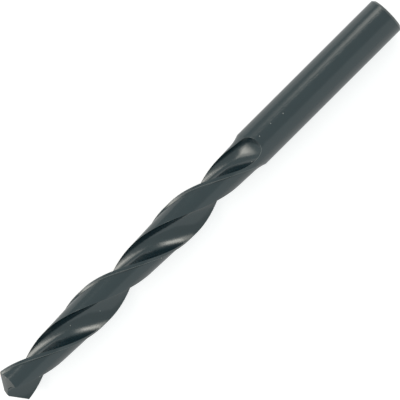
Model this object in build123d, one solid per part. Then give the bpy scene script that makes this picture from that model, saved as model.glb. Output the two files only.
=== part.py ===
from build123d import *
from math import atan2, ceil, cos, degrees, radians, sin, sqrt, tan
import os

# Straight-shank twist drill, ground from one bar of tool steel.
# The fluted body is one section that turns with the helix. Below it is the plain bar, where
# the grinding wheels rise out of the flutes and of the clearance behind each margin. The two
# flanks of the point are ground last. The drill is made upright on its shank, and is then
# laid on its side along +X, with the middle of the shank's end face at the origin.

# Driving sizes, in millimetres and degrees.
drill_diameter = 10.2  # across the margins, at the point
shank_undersize = 0.1  # the shank is this much thinner than the margins
overall_length = 133.0
shank_chamfer = 0.55

flute_length = 88.0  # tip to the end of the flutes' run-out
flute_lead = 61.1  # travel along the axis in one turn
flute_wheel_radius = 10.0  # its rim leaves the curved run-out
flute_wheel_lean = 5.0  # of its way out of the bar, towards the heel side
web_thickness = 1.6  # core left between the flutes, at the tip
web_growth = 0.6  # how much thicker the core gets, up to the run-out
land_width = 7.25  # around the drill, leading edge to heel

margin_width = 0.95  # around the drill, leading edge to step
margin_step_width = 0.33
margin_step_depth = 0.6
heel_depth = 1.1  # clearance below the margin's circle, at the heel
clearance_setback = 2.7  # its end on the body, short of the flutes' end
clearance_wheel_radius = 9.0

point_angle = 115.0  # across the two lips
lip_relief = 14.0  # flank's fall behind the lip
grind_cone_half_angle = 40.0  # each flank is a patch of such a cone
grind_cone_reach = 10.2  # from the drill's axis out to the cone's tip

laid_angle = 67.5  # turn about the drill's own axis, as it lies


def polar(radius, angle):
    """Point in a plane across the axis."""
    return Vector(radius, 0).rotate(Axis.Z, angle)


def arc_angle(width):
    """Angle of a width measured around the margins."""
    return degrees(width / margin_radius)


def wheel_rise(distance, wheel_radius):
    """How far a wheel's rim has risen, this far along from its lowest point."""
    return wheel_radius - sqrt(wheel_radius**2 - distance**2)


def wheel_travel(rise, wheel_radius):
    """How far along its rim a wheel has risen by this much."""
    return sqrt(2 * wheel_radius * rise - rise**2)


def rake_curve(radius, web, shares):
    """Points of the straight lip, brought round the helix into the plane of the tip.

    A share is 0 on the flute's floor and 1 on the margin.
    """
    lip = sqrt(radius**2 - web**2)
    return [
        Vector(lip * share, web).rotate(Axis.Z, twist_rate * lip * share / tan(half_point))
        for share in shares
    ]


# Values worked out from them.
margin_radius = drill_diameter / 2
shank_radius = (drill_diameter - shank_undersize) / 2
half_web = web_thickness / 2
half_web_at_runout = half_web + web_growth / 2
half_point = radians(point_angle / 2)
twist_rate = 360 / flute_lead  # degrees in one millimetre
over_cut = 0.2 * margin_radius  # how far each cut reaches past the bar
section_spacing = 1.0  # along the axis, between two sections of a helical solid

# Heights at which the wheels start to rise out of the bar, on their way down from the tip.
flutes_end = overall_length - flute_length
full_rise = margin_radius - half_web_at_runout
runout_start = flutes_end + wheel_travel(full_rise, flute_wheel_radius)
clearance_runout_start = (
    flutes_end + clearance_setback + wheel_travel(margin_step_depth, clearance_wheel_radius)
)

# The leading edge starts where the lip meets the margin. The heel and the margin's step
# follow it round, against the cut.
corner = rake_curve(margin_radius, half_web, [1])[0]
leading_angle = degrees(atan2(corner.Y, corner.X))
heel_angle = leading_angle - arc_angle(land_width)
step_angle = leading_angle - arc_angle(margin_width)
step_foot_angle = step_angle - arc_angle(margin_step_width)


def body_radius(height):
    """Radius of the margins, which lose a little from the tip to the shank."""
    taper = (margin_radius - shank_radius) / flute_length
    return margin_radius - taper * (overall_length - height)


def body_half_web(height):
    """Half the core's thickness, which grows from the tip to the run-out."""
    growth = (half_web_at_runout - half_web) / (overall_length - runout_start)
    return half_web + growth * (overall_length - height)


def smooth_curve(points):
    """Curve through points, with the same even knots in every section of a solid."""
    last = len(points) - 1
    return Edge.make_spline(points, parameters=[step / last for step in range(last + 1)])


def land_curve(radius, start, end):
    """Part of the land behind the margin's step: a share is 0 at the step, 1 at the heel."""
    points = []
    for step in range(4):
        share = start + (end - start) * step / 3
        depth = margin_step_depth + (heel_depth - margin_step_depth) * share
        angle = step_foot_angle + (heel_angle - step_foot_angle) * share
        points.append(polar(radius - depth, angle))
    return smooth_curve(points)


def flute_curve(radius, web):
    """One flute's section, from the leading edge to the heel of the other land.

    The rake side makes the lip straight, and is turned to keep the leading edge on its helix
    as the web grows. The heel side is one arc, tangent to the rake side on the floor.
    """
    rake = rake_curve(radius, web, (1, 2 / 3, 1 / 3, 0))
    turn = leading_angle - degrees(atan2(rake[0].Y, rake[0].X))
    rake = [point.rotate(Axis.Z, turn) for point in rake]
    heel = polar(radius - heel_depth, heel_angle + 180)
    arc = TangentArc(rake[-1], heel, tangent=polar(-1, turn))
    return smooth_curve(rake + [arc @ share for share in (0.25, 0.5, 0.75, 1)])


def body_outline(height):
    """Section of the fluted body: margin, flute, land and step, twice round."""
    radius = body_radius(height)
    flute = flute_curve(radius, body_half_web(height))
    middle_angle = (step_angle + leading_angle) / 2
    margin = smooth_curve([polar(radius, step_angle), polar(radius, middle_angle), flute @ 0])
    land = Rot(0, 0, 180) * land_curve(radius, 0, 1)
    step = Line(land @ 0, polar(radius, step_angle + 180))
    half = [margin, flute, land, step]
    return make_face(half + [Rot(0, 0, 180) * edge for edge in half])


def flute_runout_outline(height):
    """Section of the cut that ends a flute, where its wheel rises out of the bar."""
    flute = flute_curve(body_radius(runout_start), half_web_at_runout)
    lead_in = flute @ 0 - flute % 0 * over_cut
    lead_out = flute @ 1 + flute % 1 * over_cut
    above = Vector(0, drill_diameter)
    rim = Polyline(flute @ 1, lead_out, lead_out + above, lead_in + above, lead_in, flute @ 0)
    rise = wheel_rise(runout_start - height, flute_wheel_radius)
    return Pos(polar(rise, 90 + flute_wheel_lean)) * make_face([flute, rim])


def clearance_runout_outline(height):
    """Section of the cut that ends the clearance behind a margin, a little past the heel."""
    rise = wheel_rise(max(0, clearance_runout_start - height), clearance_wheel_radius)
    radius = body_radius(runout_start) + rise
    land = land_curve(radius, 0, 1)
    past_heel = land_curve(radius, 1, 1.4)
    outside = drill_diameter
    step_top = land @ 0 + (polar(radius, step_angle) - land @ 0) * 3
    rim = Polyline(
        past_heel @ 1,
        (past_heel @ 1).normalized() * outside,
        (land @ 0.8).normalized() * outside,
        step_top,
        land @ 0,
    )
    return make_face([land, past_heel, rim])


def helical_solid(outline, start, end):
    """Solid between two heights, through the sections that outline(height) gives.

    The sections are drawn in the plane of the tip, and turn with the helix.
    """
    count = ceil((start - end) / section_spacing)
    wires = []
    for step in range(count + 1):
        height = start + (end - start) * step / count
        turn = Rot(0, 0, (height - overall_length) * twist_rate)
        wires.append((Pos(0, 0, height) * turn * outline(height)).face().outer_wire())
    return Solid.make_loft(wires)


def both_sides(shape):
    """The shape, and the same on the drill's other half."""
    return [shape, Rot(0, 0, 180) * shape]


def fluted_end():
    """The fluted body, from above its tip down to where the flutes' run-out starts."""
    return helical_solid(body_outline, overall_length + over_cut, runout_start)


def shank_end():
    """The plain bar below, chamfered, with the run-outs of the flutes and the clearances."""
    profile = Polyline(
        (0, 0),
        (shank_radius - shank_chamfer, 0),
        (shank_radius, shank_chamfer),
        (shank_radius, flutes_end),
        (body_radius(runout_start), runout_start),
        (0, runout_start),
        close=True,
    )
    bar = revolve(Plane.XZ * make_face(profile), Axis.Z)

    rise = full_rise + over_cut
    end = runout_start - wheel_travel(rise, flute_wheel_radius)
    bar -= both_sides(helical_solid(flute_runout_outline, runout_start, end))

    rise = heel_depth + over_cut
    end = clearance_runout_start - wheel_travel(rise, clearance_wheel_radius)
    return bar - both_sides(helical_solid(clearance_runout_outline, runout_start, end))


def flank_cone():
    """Cone whose surface is the flank behind the lip that runs out along +X.

    The lip is one straight line of the cone. The cone is tipped about the lip to let the
    flank fall away behind it, and stands as high as puts the chisel edge at the bar's end.
    """
    half_angle = radians(grind_cone_half_angle)
    lean = half_point - half_angle
    lip = Vector(sin(half_point), 0, -cos(half_point))
    axis = Vector(sin(lean), 0, -cos(lean)).rotate(Axis((0, 0, 0), lip), lip_relief)

    # A point p below the cone's tip is on the cone where (axis . p)^2 = cos^2 |p|^2. The
    # drill's axis has p = (reach, -half_web, -depth), which leaves a quadratic in depth.
    square = cos(half_angle) ** 2
    across = grind_cone_reach * axis.X - half_web * axis.Y
    a = axis.Z**2 - square
    b = across * -axis.Z
    c = across**2 - square * (grind_cone_reach**2 + half_web**2)
    depth = (sqrt(b**2 - a * c) - b) / a

    tip = Vector(-grind_cone_reach, half_web, overall_length + depth)
    height = 4 * (grind_cone_reach + drill_diameter)
    cone = Cone(height * tan(half_angle), 0, height, align=(Align.CENTER, Align.CENTER, Align.MAX))
    return Plane(tip, z_dir=-axis) * cone


def point_waste():
    """What the two flanks' grinding takes off the end of the bar."""
    end = Pos(0, 0, overall_length + over_cut) * Cylinder(
        margin_radius + over_cut,
        drill_diameter,
        align=(Align.CENTER, Align.CENTER, Align.MAX),
    )
    waste = end - flank_cone()
    return waste + Rot(0, 0, 180) * waste


def drill_bit():
    """The finished drill, laid along +X."""
    drill = fluted_end() + shank_end() - point_waste()
    return Rot(0, 90, 0) * Rot(0, 0, laid_angle) * drill.solid()


os.makedirs("parts", exist_ok=True)
export_step(drill_bit(), "parts/drill_bit.step")
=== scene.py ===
from collections import namedtuple
from math import atan2, cos, pi, radians, sin, sqrt, tan

import bpy
from mathutils import Matrix, Vector


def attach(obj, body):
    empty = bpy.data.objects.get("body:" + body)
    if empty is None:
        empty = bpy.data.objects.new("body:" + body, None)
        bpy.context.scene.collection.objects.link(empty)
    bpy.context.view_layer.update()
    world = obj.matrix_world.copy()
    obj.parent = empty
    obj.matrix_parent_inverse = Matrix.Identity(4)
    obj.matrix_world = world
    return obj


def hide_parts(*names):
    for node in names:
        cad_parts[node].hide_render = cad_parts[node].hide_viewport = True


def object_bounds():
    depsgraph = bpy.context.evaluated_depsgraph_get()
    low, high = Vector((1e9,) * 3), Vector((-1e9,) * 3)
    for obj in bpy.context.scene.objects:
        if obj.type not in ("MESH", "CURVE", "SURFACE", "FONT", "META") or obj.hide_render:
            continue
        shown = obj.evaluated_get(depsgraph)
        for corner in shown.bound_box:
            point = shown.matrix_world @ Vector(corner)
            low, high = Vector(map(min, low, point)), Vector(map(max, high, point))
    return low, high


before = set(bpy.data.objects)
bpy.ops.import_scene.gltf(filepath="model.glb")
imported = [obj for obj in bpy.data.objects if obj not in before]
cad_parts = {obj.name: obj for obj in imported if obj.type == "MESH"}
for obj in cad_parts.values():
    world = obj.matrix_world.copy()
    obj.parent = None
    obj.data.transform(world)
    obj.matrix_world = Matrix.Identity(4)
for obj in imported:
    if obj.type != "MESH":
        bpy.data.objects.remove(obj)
cad_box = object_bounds()
scene = bpy.context.scene
scene.view_settings.view_transform = "Standard"


# --- Twist drill -------------------------------------------------------------------------
# One bar of high-speed steel, turned round, then ground: two helical flutes whose wheel
# rises out of the bar near the shank, the relief behind each margin, and two conical
# flanks that meet in the chisel edge. It is blackened in a hot salt bath after grinding.

# Sizes, in millimetres and degrees, with the drill upright on its shank.
drill_diameter = 10.2  # across the margins, at the point
shank_diameter = 10.1
overall_length = 133.0
shank_chamfer = 0.55
flute_length = 88.0  # tip to the end of the flutes' run-out
flute_lead = 61.1  # travel along the axis in one turn
flute_wheel_radius = 10.0  # its rim leaves the curved run-out
flute_wheel_lean = 25.0  # of its way out of the bar, towards the heel side
wheel_clearance = 0.03  # how far clear of the bar the wheel ends up
web_thickness = 1.6  # core left between the flutes, at the tip
web_growth = 0.6  # how much thicker the core gets, up to the run-out
land_width = 7.25  # around the drill, leading edge to heel
margin_width = 0.95  # around the drill, leading edge to step
margin_step_width = 0.33
margin_step_depth = 0.45
heel_depth = 0.9  # relief below the margin's circle, at the heel
relief_setback = 2.7  # its end on the body, short of the flutes' end
relief_wheel_radius = 9.0
point_angle = 115.0  # across the two lips
lip_relief = 14.0  # the flank's fall behind the lip
grind_cone_half_angle = 40.0  # each flank is a patch of such a cone
grind_cone_reach = 10.2  # from the drill's axis out to the cone's tip
laid_angle = 65.5  # turn about the drill's own axis, as it lies

# Faces of the mesh, round the drill and along it.
margin_faces = 6
lead_skin_faces = 16
flute_faces = 60
heel_skin_faces = 4
land_faces = 28
step_shares = (0.33, 0.67)  # the margin's step has a column at each, from foot to top
shank_faces = 30
runout_faces = 90
helix_faces = 330
flank_faces = 24
curve_steps = 80  # on each half of a flute's drawn curve

# How far the blacking is rubbed off along the ground edges. The pale steel there is also a
# painted highlight, standing in for the glint on the edges.
lip_wear_and_glint = 1.0
margin_wear_and_glint = 0.8
heel_wear_and_glint = 0.5

margin_radius = drill_diameter / 2
shank_radius = shank_diameter / 2
half_web = web_thickness / 2
runout_half_web = half_web + web_growth / 2
half_point = radians(point_angle / 2)
flutes_end = overall_length - flute_length
relief_runout_start = (
    flutes_end + relief_setback
    + sqrt(2 * relief_wheel_radius * margin_step_depth - margin_step_depth**2)
)


def turned(point, angle):
    """The point, turned about the drill's axis by an angle in radians."""
    return Vector((
        point.x * cos(angle) - point.y * sin(angle), point.x * sin(angle) + point.y * cos(angle), 0
    ))


def flute_points(half_web, corner_angle=None):
    """One flute's section, from the lip's corner to the heel of the other land.

    The rake side is the curve that makes the lip straight. The heel side is one arc.
    """
    lip = sqrt(margin_radius**2 - half_web**2)
    points = []
    for step in range(curve_steps + 1):
        along = lip * (1 - step / curve_steps)
        drop = along / tan(half_point)
        points.append(turned(Vector((along, half_web, 0)), 2 * pi * drop / flute_lead))
    turn = 0
    if corner_angle is not None:
        turn = corner_angle - atan2(points[0].y, points[0].x)
        points = [turned(point, turn) for point in points]
    corner_angle = atan2(points[0].y, points[0].x)
    heel_angle = corner_angle - land_width / margin_radius + pi
    heel = turned(Vector((margin_radius - heel_depth, 0, 0)), heel_angle)
    floor = points[-1]
    up = turned(Vector((0, 1, 0)), turn)
    chord = heel - floor
    radius = chord.length_squared / (2 * chord.dot(up))
    centre = floor + up * radius
    sweep = 2 * atan2(chord.dot(up), -chord.dot(turned(Vector((1, 0, 0)), turn)))
    points += [
        centre + turned(floor - centre, -sweep * step / curve_steps)
        for step in range(1, curve_steps + 1)
    ]
    return points, corner_angle


tip_flute, corner_angle = flute_points(half_web)
runout_flute, _ = flute_points(runout_half_web, corner_angle)

# How far the leaning wheel rises before no point of the flute is inside the bar.
wheel_way = turned(Vector((0, 1, 0)), radians(flute_wheel_lean))
full_rise = max(
    sqrt(point.dot(wheel_way) ** 2 + margin_radius**2 - point.length_squared) - point.dot(wheel_way)
    for point in runout_flute
)
runout_travel = sqrt(2 * flute_wheel_radius * full_rise - full_rise**2)
runout_start = flutes_end + runout_travel
heel_angle = corner_angle - land_width / margin_radius
step_angle = corner_angle - margin_width / margin_radius
step_foot_angle = step_angle - margin_step_width / margin_radius


def drawn_line(name, points, closed=False, **attributes):
    """A line of points for the node tree to read, with one number per point and attribute."""
    count = len(points)
    edges = [(i, (i + 1) % count) for i in range(count if closed else count - 1)]
    mesh = bpy.data.meshes.new(name)
    mesh.from_pydata(points, edges, [])
    for attribute, values in attributes.items():
        mesh.attributes.new(attribute, "FLOAT", "POINT").data.foreach_set("value", values)
    line = bpy.data.objects.new(name, mesh)
    scene.collection.objects.link(line)
    return line


# Section: what each column of the mesh follows, once round the drill. It is the land's
# face, at an angle and a depth, the flute, or the bar's skin on the leading or on the heel
# side of a flute that has risen out of it. Share says how far across its stretch a column
# is, wear how far it is rubbed bare and lit with a painted highlight, and land is 1 or -1
# for the two lands, and goes from one to the other across a flute.
land_face, flute, lead_skin, heel_skin = range(4)
Column = namedtuple("Column", "kind side angle depth share wear land", defaults=(0,) * 5)
columns = []
for side in (0, pi):
    for step in range(margin_faces):
        angle = step_angle + (corner_angle - step_angle) * step / margin_faces
        wear = margin_wear_and_glint if step == 0 else 0
        columns.append(Column(land_face, side, angle=angle, wear=wear, land=1))
    for step in range(lead_skin_faces):
        columns.append(Column(lead_skin, side, share=step / lead_skin_faces, land=1))
    for step in range(flute_faces + 1):
        share = step / flute_faces
        wear = {0: lip_wear_and_glint, flute_faces: heel_wear_and_glint}.get(step, 0)
        columns.append(Column(flute, side, share=share, wear=wear, land=1 - 2 * share))
    for step in range(1, heel_skin_faces + 1):
        columns.append(Column(heel_skin, side, share=step / heel_skin_faces, land=-1))
    for step in range(1, land_faces + 1):
        share = 1 - step / land_faces
        angle = step_foot_angle + (heel_angle - step_foot_angle) * share + pi
        depth = margin_step_depth + (heel_depth - margin_step_depth) * share
        columns.append(Column(land_face, side, angle=angle, depth=depth, land=-1))
    for share in step_shares:
        angle = step_foot_angle + (step_angle - step_foot_angle) * share + pi
        depth = margin_step_depth * (1 - share)
        columns.append(Column(land_face, side, angle=angle, depth=depth, land=-1))
round_drill = [2 * pi * i / len(columns) for i in range(len(columns))]
section = drawn_line(
    "Section columns",
    [(cos(turn), sin(turn), 0) for turn in round_drill],
    closed=True,
    **{name: [getattr(column, name) for column in columns] for name in Column._fields},
)


def heights(start, end, faces):
    """Heights of the rows from start to end, without the first."""
    return [start + (end - start) * step / faces for step in range(1, faces + 1)]


# Rows: heights along the bar, close together where it is fluted. A row is inset where it
# closes an end, from 0 on the wall to 1 in the middle.
chamfer_inset = shank_chamfer / shank_radius
rows = [(0, 1), (0, 0.5), (0, chamfer_inset), (shank_chamfer, 0)]
rows += [(height, 0) for height in heights(shank_chamfer, flutes_end, shank_faces)]
rows += [(height, 0) for height in heights(flutes_end, runout_start, runout_faces)]
rows += [(height, 0) for height in heights(runout_start, overall_length, helix_faces)]
rows += [(overall_length, inset) for inset in heights(0, 1, flank_faces)]
spine = drawn_line("Rows", [(0, 0, height) for height, _ in rows], inset=[row[1] for row in rows])

flute_at_tip = drawn_line("Flute at the tip", tip_flute)
flute_at_runout = drawn_line("Flute at the run-out", runout_flute)

tree = bpy.data.node_groups.new("Ground twist drill", "GeometryNodeTree")


def node(kind, *inputs, output=0, **settings):
    """Adds a node, sets its options, fills its inputs in order, and gives one output."""
    added = tree.nodes.new(kind)
    for name, value in settings.items():
        setattr(added, name, value)
    for socket, value in zip([s for s in added.inputs if s.enabled], inputs):
        if isinstance(value, Number):
            value = value.socket
        if isinstance(value, bpy.types.NodeSocket):
            tree.links.new(value, socket)
        elif value is not None:
            socket.default_value = value
    return [s for s in added.outputs if s.enabled][output]


class Number:
    """A number that the tree works out at each point, written as ordinary sums."""

    def __init__(self, socket):
        self.socket = socket

    @staticmethod
    def sum(operation, a, b=None, c=None):
        return Number(node("ShaderNodeMath", a, b, c, operation=operation))

    def __add__(self, other):
        return Number.sum("ADD", self, other)

    def __sub__(self, other):
        return Number.sum("SUBTRACT", self, other)

    def __rsub__(self, other):
        return Number.sum("SUBTRACT", other, self)

    def __mul__(self, other):
        return Number.sum("MULTIPLY", self, other)

    def __truediv__(self, other):
        return Number.sum("DIVIDE", self, other)

    __radd__ = __add__
    __rmul__ = __mul__


def root(value):
    return Number.sum("SQRT", Number.sum("MAXIMUM", value, 0.0))


def mixed(share, a, b):
    """a where the share is 0, b where it is 1."""
    return a + share * (b - a)


def chosen(condition, otherwise, value):
    return Number(node("GeometryNodeSwitch", condition, otherwise, value, input_type="FLOAT"))


def is_more(a, b):
    return node("FunctionNodeCompare", a, b, data_type="FLOAT", operation="GREATER_THAN")


def attribute(name):
    return Number(node("GeometryNodeInputNamedAttribute", name, data_type="FLOAT"))


def stored(geometry, name, value):
    return node(
        "GeometryNodeStoreNamedAttribute", geometry, None, name, value,
        data_type="FLOAT", domain="POINT",
    )


for name, kind in (
    ("Section", "Object"), ("Rows", "Object"), ("Flute at Tip", "Object"),
    ("Flute at Run-out", "Object"), ("Floor Share", "Float"), ("Overall Length", "Float"),
    ("Drill Radius", "Float"), ("Shank Radius", "Float"), ("Flute Lead", "Float"),
    ("Flutes' End", "Float"), ("Run-out Start", "Float"), ("Flute Wheel Radius", "Float"),
    ("Flute Wheel Lean", "Float"), ("Relief Run-out Start", "Float"),
    ("Relief Wheel Radius", "Float"), ("Heel Depth", "Float"), ("Cone Tip", "Vector"),
    ("Cone Axis", "Vector"), ("Cone Half Angle", "Float"), ("Land Middle", "Vector"),
    ("Flute Width", "Float"), ("Finish", "Material"),
):
    tree.interface.new_socket(name, in_out="INPUT", socket_type="NodeSocket" + kind)
tree.interface.new_socket("Drill", in_out="OUTPUT", socket_type="NodeSocketGeometry")
given = tree.nodes.new("NodeGroupInput").outputs
length, radius, lead = (Number(given[n]) for n in ("Overall Length", "Drill Radius", "Flute Lead"))
fluted_from, runout_from = Number(given["Flutes' End"]), Number(given["Run-out Start"])


def line_geometry(name):
    return node("GeometryNodeMeshToCurve", node("GeometryNodeObjectInfo", given[name], output=4))


def at_angle(distance, angle):
    """A point across the axis."""
    across = distance * Number.sum("COSINE", angle)
    up = distance * Number.sum("SINE", angle)
    return node("ShaderNodeCombineXYZ", across, up)


def parts_of(vector):
    return [Number(node("ShaderNodeSeparateXYZ", vector, output=part)) for part in range(3)]


def vector_sum(operation, a, b=None):
    return node("ShaderNodeVectorMath", a, b, operation=operation)


def twisted(point, height, side):
    """The point of the section, turned with the helix to its height."""
    down = Number.sum("MAXIMUM", height, fluted_from) - length
    return node("ShaderNodeVectorRotate", point, None, None, side + down * 2 * pi / lead)


def flute_at(share, towards_tip):
    """Point of the flute's section between the lip's corner (0) and the heel (1)."""
    ends = [
        node(
            "GeometryNodeSampleCurve", line_geometry(name), None, share,
            output=1, data_type="FLOAT",
        )
        for name in ("Flute at Run-out", "Flute at Tip")
    ]
    return node("ShaderNodeMix", towards_tip, *ends, data_type="VECTOR")


def wheel_rise(start, height, wheel_radius, most):
    """How far a wheel has risen below the height where it starts to leave its cut."""
    travel = Number.sum("MAXIMUM", start - height, 0.0)
    risen = wheel_radius - root(wheel_radius * wheel_radius - travel * travel)
    return Number.sum("MINIMUM", risen, most)


def repeated(times, names, step):
    """Runs step on the named numbers again and again; names gives their first values."""
    zone_in = tree.nodes.new("GeometryNodeRepeatInput")
    zone_out = tree.nodes.new("GeometryNodeRepeatOutput")
    zone_in.pair_with_output(zone_out)
    zone_out.repeat_items.clear()
    for name in names:
        zone_out.repeat_items.new("FLOAT", name)
    zone_in.inputs["Iterations"].default_value = times
    for name, first in names.items():
        if isinstance(first, Number):
            tree.links.new(first.socket, zone_in.inputs[name])
        else:
            zone_in.inputs[name].default_value = first
    results = step(*[Number(zone_in.outputs[name]) for name in names])
    for name, result in zip(names, results):
        tree.links.new(result.socket, zone_out.inputs[name])
    return [Number(zone_out.outputs[name]) for name in names]


# What each row needs: how far the wheels have risen, and where the flute meets the skin.
height = parts_of(node("GeometryNodeInputPosition"))[2]
rise = wheel_rise(
    runout_from, height, Number(given["Flute Wheel Radius"]), full_rise + wheel_clearance
)
relief_rise = wheel_rise(
    Number(given["Relief Run-out Start"]), height, Number(given["Relief Wheel Radius"]), heel_depth
)
heel_drop = Number(given["Heel Depth"]) - relief_rise
way_out = at_angle(rise, Number(given["Flute Wheel Lean"]) + pi / 2)


def risen_flute(share):
    return vector_sum("ADD", flute_at(share, 0.0), way_out)


def meeting_share(skin):
    """Returns the step that halves the stretch of flute in which the skin is crossed."""

    def step(outside, inside):
        middle = (outside + inside) * 0.5
        distance = Number(node("ShaderNodeVectorMath", risen_flute(middle), operation="LENGTH"))
        beyond = is_more(distance, skin)
        return chosen(beyond, outside, middle), chosen(beyond, middle, inside)

    return step


meeting_halvings = 16
floor_share = Number(given["Floor Share"])
_, lead_share = repeated(
    meeting_halvings, {"Outside": 0.0, "Inside": floor_share}, meeting_share(radius)
)
_, heel_share = repeated(
    meeting_halvings, {"Outside": 1.0, "Inside": floor_share}, meeting_share(radius - heel_drop)
)
row_line = line_geometry("Rows")
for name, value in (("lead_share", lead_share), ("heel_share", heel_share)):
    row_line = stored(row_line, name, value)
for name, share in (("lead_angle", "lead_share"), ("heel_angle", "heel_share")):
    x, y, _ = parts_of(risen_flute(attribute(share)))
    row_line = stored(row_line, name, Number.sum("ARCTAN2", y, x))
for name, value in (
    ("height", height), ("flute_rise", rise), ("heel_drop", heel_drop), ("relief_rise", relief_rise)
):
    row_line = stored(row_line, name, value)

# The bar's wall: the section's columns on every row.
tube = node("GeometryNodeCurveToMesh", row_line, line_geometry("Section"), None, False)
kind, share, side = attribute("kind"), attribute("share"), attribute("side")
is_land_face = is_more(flute - 0.5, kind)
is_flute = node("FunctionNodeCompare", kind, float(flute), data_type="FLOAT", operation="EQUAL")
is_skin = is_more(kind, lead_skin - 0.5)
is_heel_skin = is_more(kind, heel_skin - 0.5)
height, inset = attribute("height"), attribute("inset")

drop = chosen(
    is_heel_skin,
    Number.sum("MAXIMUM", attribute("depth") - attribute("relief_rise"), 0.0),
    attribute("heel_drop"),
)
lead_skin_angle = mixed(share, corner_angle, attribute("lead_angle"))
heel_skin_angle = mixed(share, attribute("heel_angle"), heel_angle + pi)
angle = chosen(is_skin, attribute("angle"), lead_skin_angle)
angle = chosen(is_heel_skin, angle, heel_skin_angle)
skin_point = at_angle(radius - drop, angle)

towards_tip = (height - runout_from) / (length - runout_from)
flute_share = mixed(share, attribute("lead_share"), attribute("heel_share"))
tip_share = chosen(is_skin, share, 0.0)
tip_share = chosen(is_heel_skin, tip_share, 1.0)


def scaled(vector, factor):
    return node("ShaderNodeVectorMath", vector, factor, operation="SCALE")


def either(condition, otherwise, point):
    return node("GeometryNodeSwitch", condition, otherwise, point, input_type="VECTOR")


def skin_limited(point, limit):
    """The point, brought back to the bar's skin if it is beyond it."""
    distance = Number(node("ShaderNodeVectorMath", point, operation="LENGTH"))
    return scaled(point, Number.sum("MINIMUM", limit / distance, 1.0))


flute_point = vector_sum("ADD", flute_at(flute_share, towards_tip), at_angle(
    attribute("flute_rise"), Number(given["Flute Wheel Lean"]) + pi / 2
))
section_point = either(is_flute, skin_point, skin_limited(flute_point, radius))

# Back taper, from the tip to the shank.
taper = (radius - Number(given["Shank Radius"])) / (length - fluted_from)
scale = 1.0 - taper * (length - Number.sum("MAXIMUM", height, fluted_from)) / radius
section_point = scaled(section_point, scale)

# The point: each flank is the face of a cone, and the lower of the two is the steel.
cone_tip, cone_axis = given["Cone Tip"], given["Cone Axis"]
half_angle = Number.sum("COSINE", Number(given["Cone Half Angle"]))
lean = Number.sum("ABSOLUTE", parts_of(cone_axis)[2])


def dot(a, b):
    return Number(node("ShaderNodeVectorMath", a, b, operation="DOT_PRODUCT"))


def flank_height(point):
    """Height of the grinding cone's face over a point across the axis."""
    offset = vector_sum("MULTIPLY", vector_sum("SUBTRACT", point, cone_tip), (1, 1, 0))
    along, across = dot(offset, cone_axis), dot(offset, offset)
    steepness = lean * lean - half_angle * half_angle
    depth = (half_angle * root(along * along + steepness * across) - along * lean) / steepness
    return parts_of(cone_tip)[2] - depth


def point_height(point):
    opposite = vector_sum("MULTIPLY", point, (-1, -1, 0))
    return Number.sum("MINIMUM", flank_height(point), flank_height(opposite))


# The flanks close on a line that joins the middles of the two lands.
land_point = at_angle(radius - attribute("depth"), attribute("angle"))
tip_point = either(is_land_face, flute_at(tip_share, 1.0), land_point)
land_middle = scaled(given["Land Middle"], attribute("land"))
tip_point = node("ShaderNodeMix", inset, tip_point, land_middle, data_type="VECTOR")


def next_height(guess):
    """A better guess of where the column, twisted as at the last guess, meets the flank."""
    return [point_height(twisted(tip_point, guess, side))]


height_guesses = 8
(top,) = repeated(height_guesses, {"Top": overall_length}, next_height)
tube = stored(tube, "top", top)
top = attribute("top")

body_height = runout_from + (height - runout_from) * (top - runout_from) / (length - runout_from)
body_height = chosen(is_more(height, runout_from), height, body_height)
wall_point = twisted(section_point, body_height, side)
on_cap = is_more(inset, 0.0)
at_tip = is_more(height, runout_from)
flank_point = twisted(tip_point, top, side)
shank_point = scaled(wall_point, 1.0 - inset)
x, y, _ = parts_of(either(on_cap, wall_point, either(at_tip, shank_point, flank_point)))
place_height = chosen(on_cap, body_height, chosen(at_tip, height, point_height(flank_point)))
place = node("ShaderNodeCombineXYZ", x, y, place_height)
tube = node("GeometryNodeSetPosition", tube, None, place)

# For the finish: millimetres across and along the marks of the grinding, which run along
# the flutes and round the rest, where the ends are, and the rubbed edges, which also get a
# painted highlight.
is_fluted = is_more(height, fluted_from)
in_flute = node("FunctionNodeBooleanMath", is_flute, is_fluted, operation="AND")
across_flute = flute_share * Number(given["Flute Width"])
tube = stored(tube, "across_marks", chosen(in_flute, body_height, across_flute))
tube = stored(tube, "along_marks", chosen(in_flute, angle * radius, body_height))
tube = stored(tube, "rubbed_and_glint", chosen(is_fluted, 0.0, attribute("wear")))
tube = stored(tube, "end_face", chosen(on_cap, 0.0, 1.0))

# Columns that meet are joined, and what the wheels left sharp stays sharp.
same_place = 0.002
sharpest_curve = radians(24)
tube = node("GeometryNodeMergeByDistance", tube, None, same_place)
is_curved = is_more(sharpest_curve, Number(node("GeometryNodeInputMeshEdgeAngle")))
tube = node("GeometryNodeSetShadeSmooth", tube, None, is_curved, domain="EDGE")
tube = node("GeometryNodeRealizeInstances", tube)
tube = node("GeometryNodeSetMaterial", tube, None, given["Finish"])
done = tree.nodes.new("NodeGroupOutput")
tree.links.new(tube, done.inputs["Drill"])

# Black oxide: a dark teal, clouded skin that keeps the marks of the grinding. The point's
# flanks were ground last and look greyer, and bare steel shows where the skin is rubbed.
# Along the ground edges that pale steel is also a painted highlight.
dark_oxide = (0.0005, 0.008, 0.013, 1)
pale_oxide = (0.002, 0.013, 0.018, 1)
flank_oxide = (0.010, 0.014, 0.013, 1)
# Bare steel, for the specks and for the rubbed edges, where it is also a painted highlight.
bare_steel_and_glint = (0.21, 0.215, 0.205, 1)
oxide_ior = 1.85
oxide_sheen = (0.93, 1.0, 1.0, 1)

# How many there are in one millimetre, for marks and chatter across and along the flute.
mark_density = (6.0, 0.25)
chatter_density = (0.45, 0.9)
grain_density = 5.0
cloud_density = 0.3
speck_density = 0.5
speck_radius = 0.075  # of the room that each speck has
speck_rarity = 0.7  # share of the places that stay without one

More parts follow.
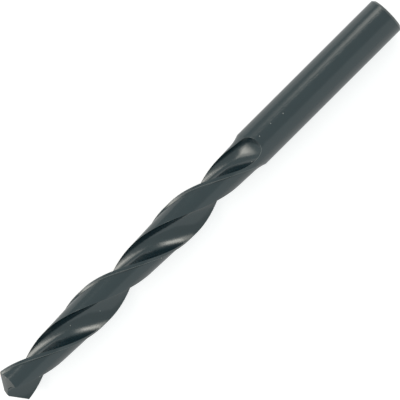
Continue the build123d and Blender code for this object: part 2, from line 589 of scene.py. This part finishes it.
# How far the clouds lighten the oxide, and how much pale steel shows on the rubbed edges,
# as wear and as a painted highlight, with the grain breaking it up.
cloud_contrast = 1.6
rub_and_glint_patchiness = 5.0
rub_and_glint_strength = 0.6

# Roughness of the smooth oxide and what each adds, and heights in thousandths of a
# millimetre.
bath_polish = 0.21
mark_roughness, mark_height = 0.10, 1.2
grain_roughness, grain_height = 0.08, 1.5
chatter_height = 16.0
cloud_roughness = 0.06
flank_roughness = 0.08
bare_roughness = 0.15

drill_tree = tree
black_oxide = bpy.data.materials.new("Black oxide on high-speed steel")
black_oxide.use_nodes = True
tree = black_oxide.node_tree
shader = tree.nodes["Principled BSDF"]
shader.inputs["IOR"].default_value = oxide_ior
shader.inputs["Specular Tint"].default_value = oxide_sheen


def carried(name):
    """A number that the mesh carries."""
    return Number(node("ShaderNodeAttribute", attribute_name=name, output=2))


def noise(place, scale, detail, roughness=0.5):
    """Noise about zero, from about -0.5 to 0.5."""
    return Number(node("ShaderNodeTexNoise", place, scale, detail, roughness)) - 0.5


def blended(share, a, b):
    return node("ShaderNodeMix", share, a, b, data_type="RGBA")


to_millimetres = (1000, 1000, 1000)
object_place = node("ShaderNodeTexCoord", output=3)
place = node("ShaderNodeMapping", object_place, None, None, to_millimetres)
across_marks, along_marks = carried("across_marks"), carried("along_marks")
mark_place, chatter_place = (
    node("ShaderNodeCombineXYZ", across_marks * across, along_marks * along)
    for across, along in (mark_density, chatter_density)
)
marks = noise(mark_place, 1.0, detail=3.0, roughness=0.6)
chatter = noise(chatter_place, 1.0, detail=1.0)
grain = noise(place, grain_density, detail=3.0, roughness=0.6)
clouds = noise(place, cloud_density, detail=3.0, roughness=0.6)

# Specks of bare steel where the bath did not take.
from_middle = Number(node("ShaderNodeTexVoronoi", place, speck_density))
cell_colour = node("ShaderNodeTexVoronoi", place, speck_density, output=1)
chance = parts_of(cell_colour)[0]
is_near = Number.sum("LESS_THAN", from_middle, speck_radius)
is_speck = is_near * Number.sum("GREATER_THAN", chance, speck_rarity)
# The rubbed edges: worn steel and a painted highlight, broken up by the grain; then the specks.
patches = Number.sum("SMOOTH_MIN", 1.0, 1.2 + grain * rub_and_glint_patchiness, 0.2)
bare_and_glint = Number.sum("MAXIMUM", carried("rubbed_and_glint") * patches * rub_and_glint_strength, is_speck)
end_face = carried("end_face")

blacking = blended(0.5 + clouds * cloud_contrast, dark_oxide, pale_oxide)
blacking = blended(end_face, blacking, flank_oxide)
tree.links.new(blended(bare_and_glint, blacking, bare_steel_and_glint), shader.inputs["Base Color"])
roughness = (
    bath_polish + marks * mark_roughness + grain * grain_roughness + clouds * cloud_roughness
    + end_face * flank_roughness + bare_and_glint * bare_roughness
)
tree.links.new(roughness.socket, shader.inputs["Roughness"])
relief = tree.nodes.new("ShaderNodeBump")
relief.inputs["Strength"].default_value = 1
relief.inputs["Distance"].default_value = 1e-6
relief_height = marks * mark_height + chatter * chatter_height + grain * grain_height
tree.links.new(relief_height.socket, relief.inputs["Height"])
tree.links.new(relief.outputs["Normal"], shader.inputs["Normal"])

# The grinding cone behind the lip that runs out along +X, tipped about it by the relief,
# and as high as puts the chisel edge at the bar's end.
cone_half = radians(grind_cone_half_angle)
lip_direction = Vector((sin(half_point), 0, -cos(half_point)))
cone_lean = half_point - cone_half
cone_axis_value = Matrix.Rotation(radians(lip_relief), 3, lip_direction) @ Vector(
    (sin(cone_lean), 0, -cos(cone_lean))
)

# How far below its tip the cone's face crosses the drill's axis, from a quadratic.
square = cos(cone_half) ** 2
a = cone_axis_value.z**2 - square
across = grind_cone_reach * cone_axis_value.x - half_web * cone_axis_value.y
b = across * -cone_axis_value.z
c = across**2 - square * (grind_cone_reach**2 + half_web**2)
cone_depth = (sqrt(b * b - a * c) - b) / a


def curve_length(points):
    return sum((b - a).length for a, b in zip(points, points[1:]))


rake_side = runout_flute[:curve_steps + 1]
land_middle_radius = 0.56 * margin_radius  # in sight of the land's step and of its heel
drill_mesh = bpy.data.meshes.new("Drill before grinding")
drill = bpy.data.objects.new("Twist-drill", drill_mesh)
scene.collection.objects.link(drill)
grinding = drill.modifiers.new("Grinding", "NODES")
grinding.node_group = drill_tree
sizes = {
    "Section": section,
    "Rows": spine,
    "Flute at Tip": flute_at_tip,
    "Flute at Run-out": flute_at_runout,
    "Floor Share": curve_length(rake_side) / curve_length(runout_flute),
    "Overall Length": overall_length,
    "Drill Radius": margin_radius,
    "Shank Radius": shank_radius,
    "Flute Lead": flute_lead,
    "Flutes' End": flutes_end,
    "Run-out Start": runout_start,
    "Flute Wheel Radius": flute_wheel_radius,
    "Flute Wheel Lean": radians(flute_wheel_lean),
    "Relief Run-out Start": relief_runout_start,
    "Relief Wheel Radius": relief_wheel_radius,
    "Heel Depth": heel_depth,
    "Cone Tip": Vector((-grind_cone_reach, half_web, overall_length + cone_depth)),
    "Cone Axis": cone_axis_value,
    "Cone Half Angle": cone_half,
    "Land Middle": turned(Vector((land_middle_radius, 0, 0)), (corner_angle + heel_angle) / 2),
    "Flute Width": curve_length(runout_flute),
    "Finish": black_oxide,
}
for item in drill_tree.interface.items_tree:
    if item.in_out == "INPUT":
        grinding[item.identifier] = sizes[item.name]
depsgraph = bpy.context.evaluated_depsgraph_get()
drill_mesh = bpy.data.meshes.new_from_object(drill.evaluated_get(depsgraph), depsgraph=depsgraph)
drill.modifiers.clear()
drill.data = drill_mesh
for helper in (section, spine, flute_at_tip, flute_at_runout):
    bpy.data.objects.remove(helper)

# Laid on its side along +X, in metres, with the shank's end at the origin.
metres = 0.001
drill_mesh.transform(
    Matrix.Scale(metres, 4)
    @ Matrix.Rotation(pi / 2, 4, "Y")
    @ Matrix.Rotation(radians(laid_angle), 4, "Z")
)
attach(drill, "root")
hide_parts("drill_bit")


# --- Floor -------------------------------------------------------------------------------
# A wide sheet of matt white paper that lies flat under the drill, at the height where the
# drill rests. It is pure white to the eye, and a little less in the steel's reflections.
floor_height = cad_box[0][2]
floor_reach = 3
paper_colour = (0.5, 0.5, 0.5, 1)
paper_glow = 0.70
glow_in_reflections = 0.6

floor_mesh = bpy.data.meshes.new("Studio floor")
corners = ((-1, -1), (1, -1), (1, 1), (-1, 1))
floor_mesh.from_pydata(
    [(x * floor_reach, y * floor_reach, floor_height) for x, y in corners], [], [(0, 1, 2, 3)]
)
floor = bpy.data.objects.new("Studio floor", floor_mesh)
scene.collection.objects.link(floor)
paper = bpy.data.materials.new("White paper")
paper.use_nodes = True
tree = paper.node_tree
shader = tree.nodes["Principled BSDF"]
shader.inputs["Base Color"].default_value = paper_colour
shader.inputs["Roughness"].default_value = 1
shader.inputs["Specular IOR Level"].default_value = 0
shader.inputs["Emission Color"].default_value = (1, 1, 1, 1)
path = tree.nodes.new("ShaderNodeLightPath").outputs
reflected = Number(path["Is Glossy Ray"]) * glow_in_reflections
glow = Number.sum("MAXIMUM", Number(path["Is Camera Ray"]), reflected) * paper_glow
tree.links.new(glow.socket, shader.inputs["Emission Strength"])
floor_mesh.materials.append(paper)


# --- Light -------------------------------------------------------------------------------
# A bright, slightly cool room, two large warm windows, each brightest in its middle, and a
# weak fill from the near side. Behind the drill the eye sees a plain white backdrop.
room_colour = (0.90, 1, 1, 1)
room_strength = 0.62
warm = (1, 0.90, 0.82)
middle_distance = 0.94  # a little in front of the rest of the window

world = bpy.data.worlds.new("Studio")
scene.world = world
world.use_nodes = True
tree = world.node_tree
room = tree.nodes["Background"]
room.inputs["Color"].default_value = room_colour
room.inputs["Strength"].default_value = room_strength
backdrop = node("ShaderNodeBackground", (1, 1, 1, 1), 1.0)
path = tree.nodes.new("ShaderNodeLightPath").outputs
seen = node("ShaderNodeMixShader", path["Is Camera Ray"], room.outputs[0], backdrop)
tree.links.new(seen, tree.nodes["World Output"].inputs["Surface"])

camera_turn = radians(135.1)  # seen from above
drill_middle = metres * overall_length / 2


def softbox(name, bearing, zenith, width, height, radiance, tint=(1, 1, 1), distance=1.0):
    """An area lamp that faces the drill. Its bearing counts from the view's right side."""
    data = bpy.data.lights.new(name, "AREA")
    data.shape = "RECTANGLE"
    data.size = width
    data.size_y = height
    data.energy = radiance * pi * width * height
    data.color = tint
    lamp = bpy.data.objects.new(name, data)
    turn = radians(bearing) + camera_turn
    lamp.location = (
        drill_middle + distance * sin(radians(zenith)) * cos(turn),
        distance * sin(radians(zenith)) * sin(turn),
        distance * cos(radians(zenith)),
    )
    lamp.rotation_euler = (radians(zenith), 0, turn + pi / 2)
    scene.collection.objects.link(lamp)


softbox("Left window", 197, 57, width=1.30, height=0.46, radiance=1.7, tint=warm)
softbox(
    "Left window's bright middle", 197, 57, width=0.60, height=0.22, radiance=2.6,
    tint=warm, distance=middle_distance,
)
softbox("Top window", 97, 57, width=0.90, height=0.46, radiance=1.6, tint=warm)
softbox(
    "Top window's bright middle", 101, 57, width=0.40, height=0.24, radiance=3.6,
    tint=warm, distance=middle_distance,
)
softbox("Fill", 315, 60, width=1.5, height=1.15, radiance=0.22)


# --- Camera ------------------------------------------------------------------------------
# A long lens straight above the drill, turned so that the drill lies corner to corner
# with its point at the lower left.
lens = 152.28
camera_place = (0.0586, -0.00013, 0.4183)
camera_tilt = (-0.628, 0.630, 135.101)  # degrees about X, Y and Z

camera_data = bpy.data.cameras.new("Camera")
camera_data.lens = lens
camera_data.sensor_width = 36
camera_data.clip_start = 0.01
camera = bpy.data.objects.new("Camera", camera_data)
camera.location = camera_place
camera.rotation_euler = [radians(angle) for angle in camera_tilt]
scene.collection.objects.link(camera)
scene.camera = camera
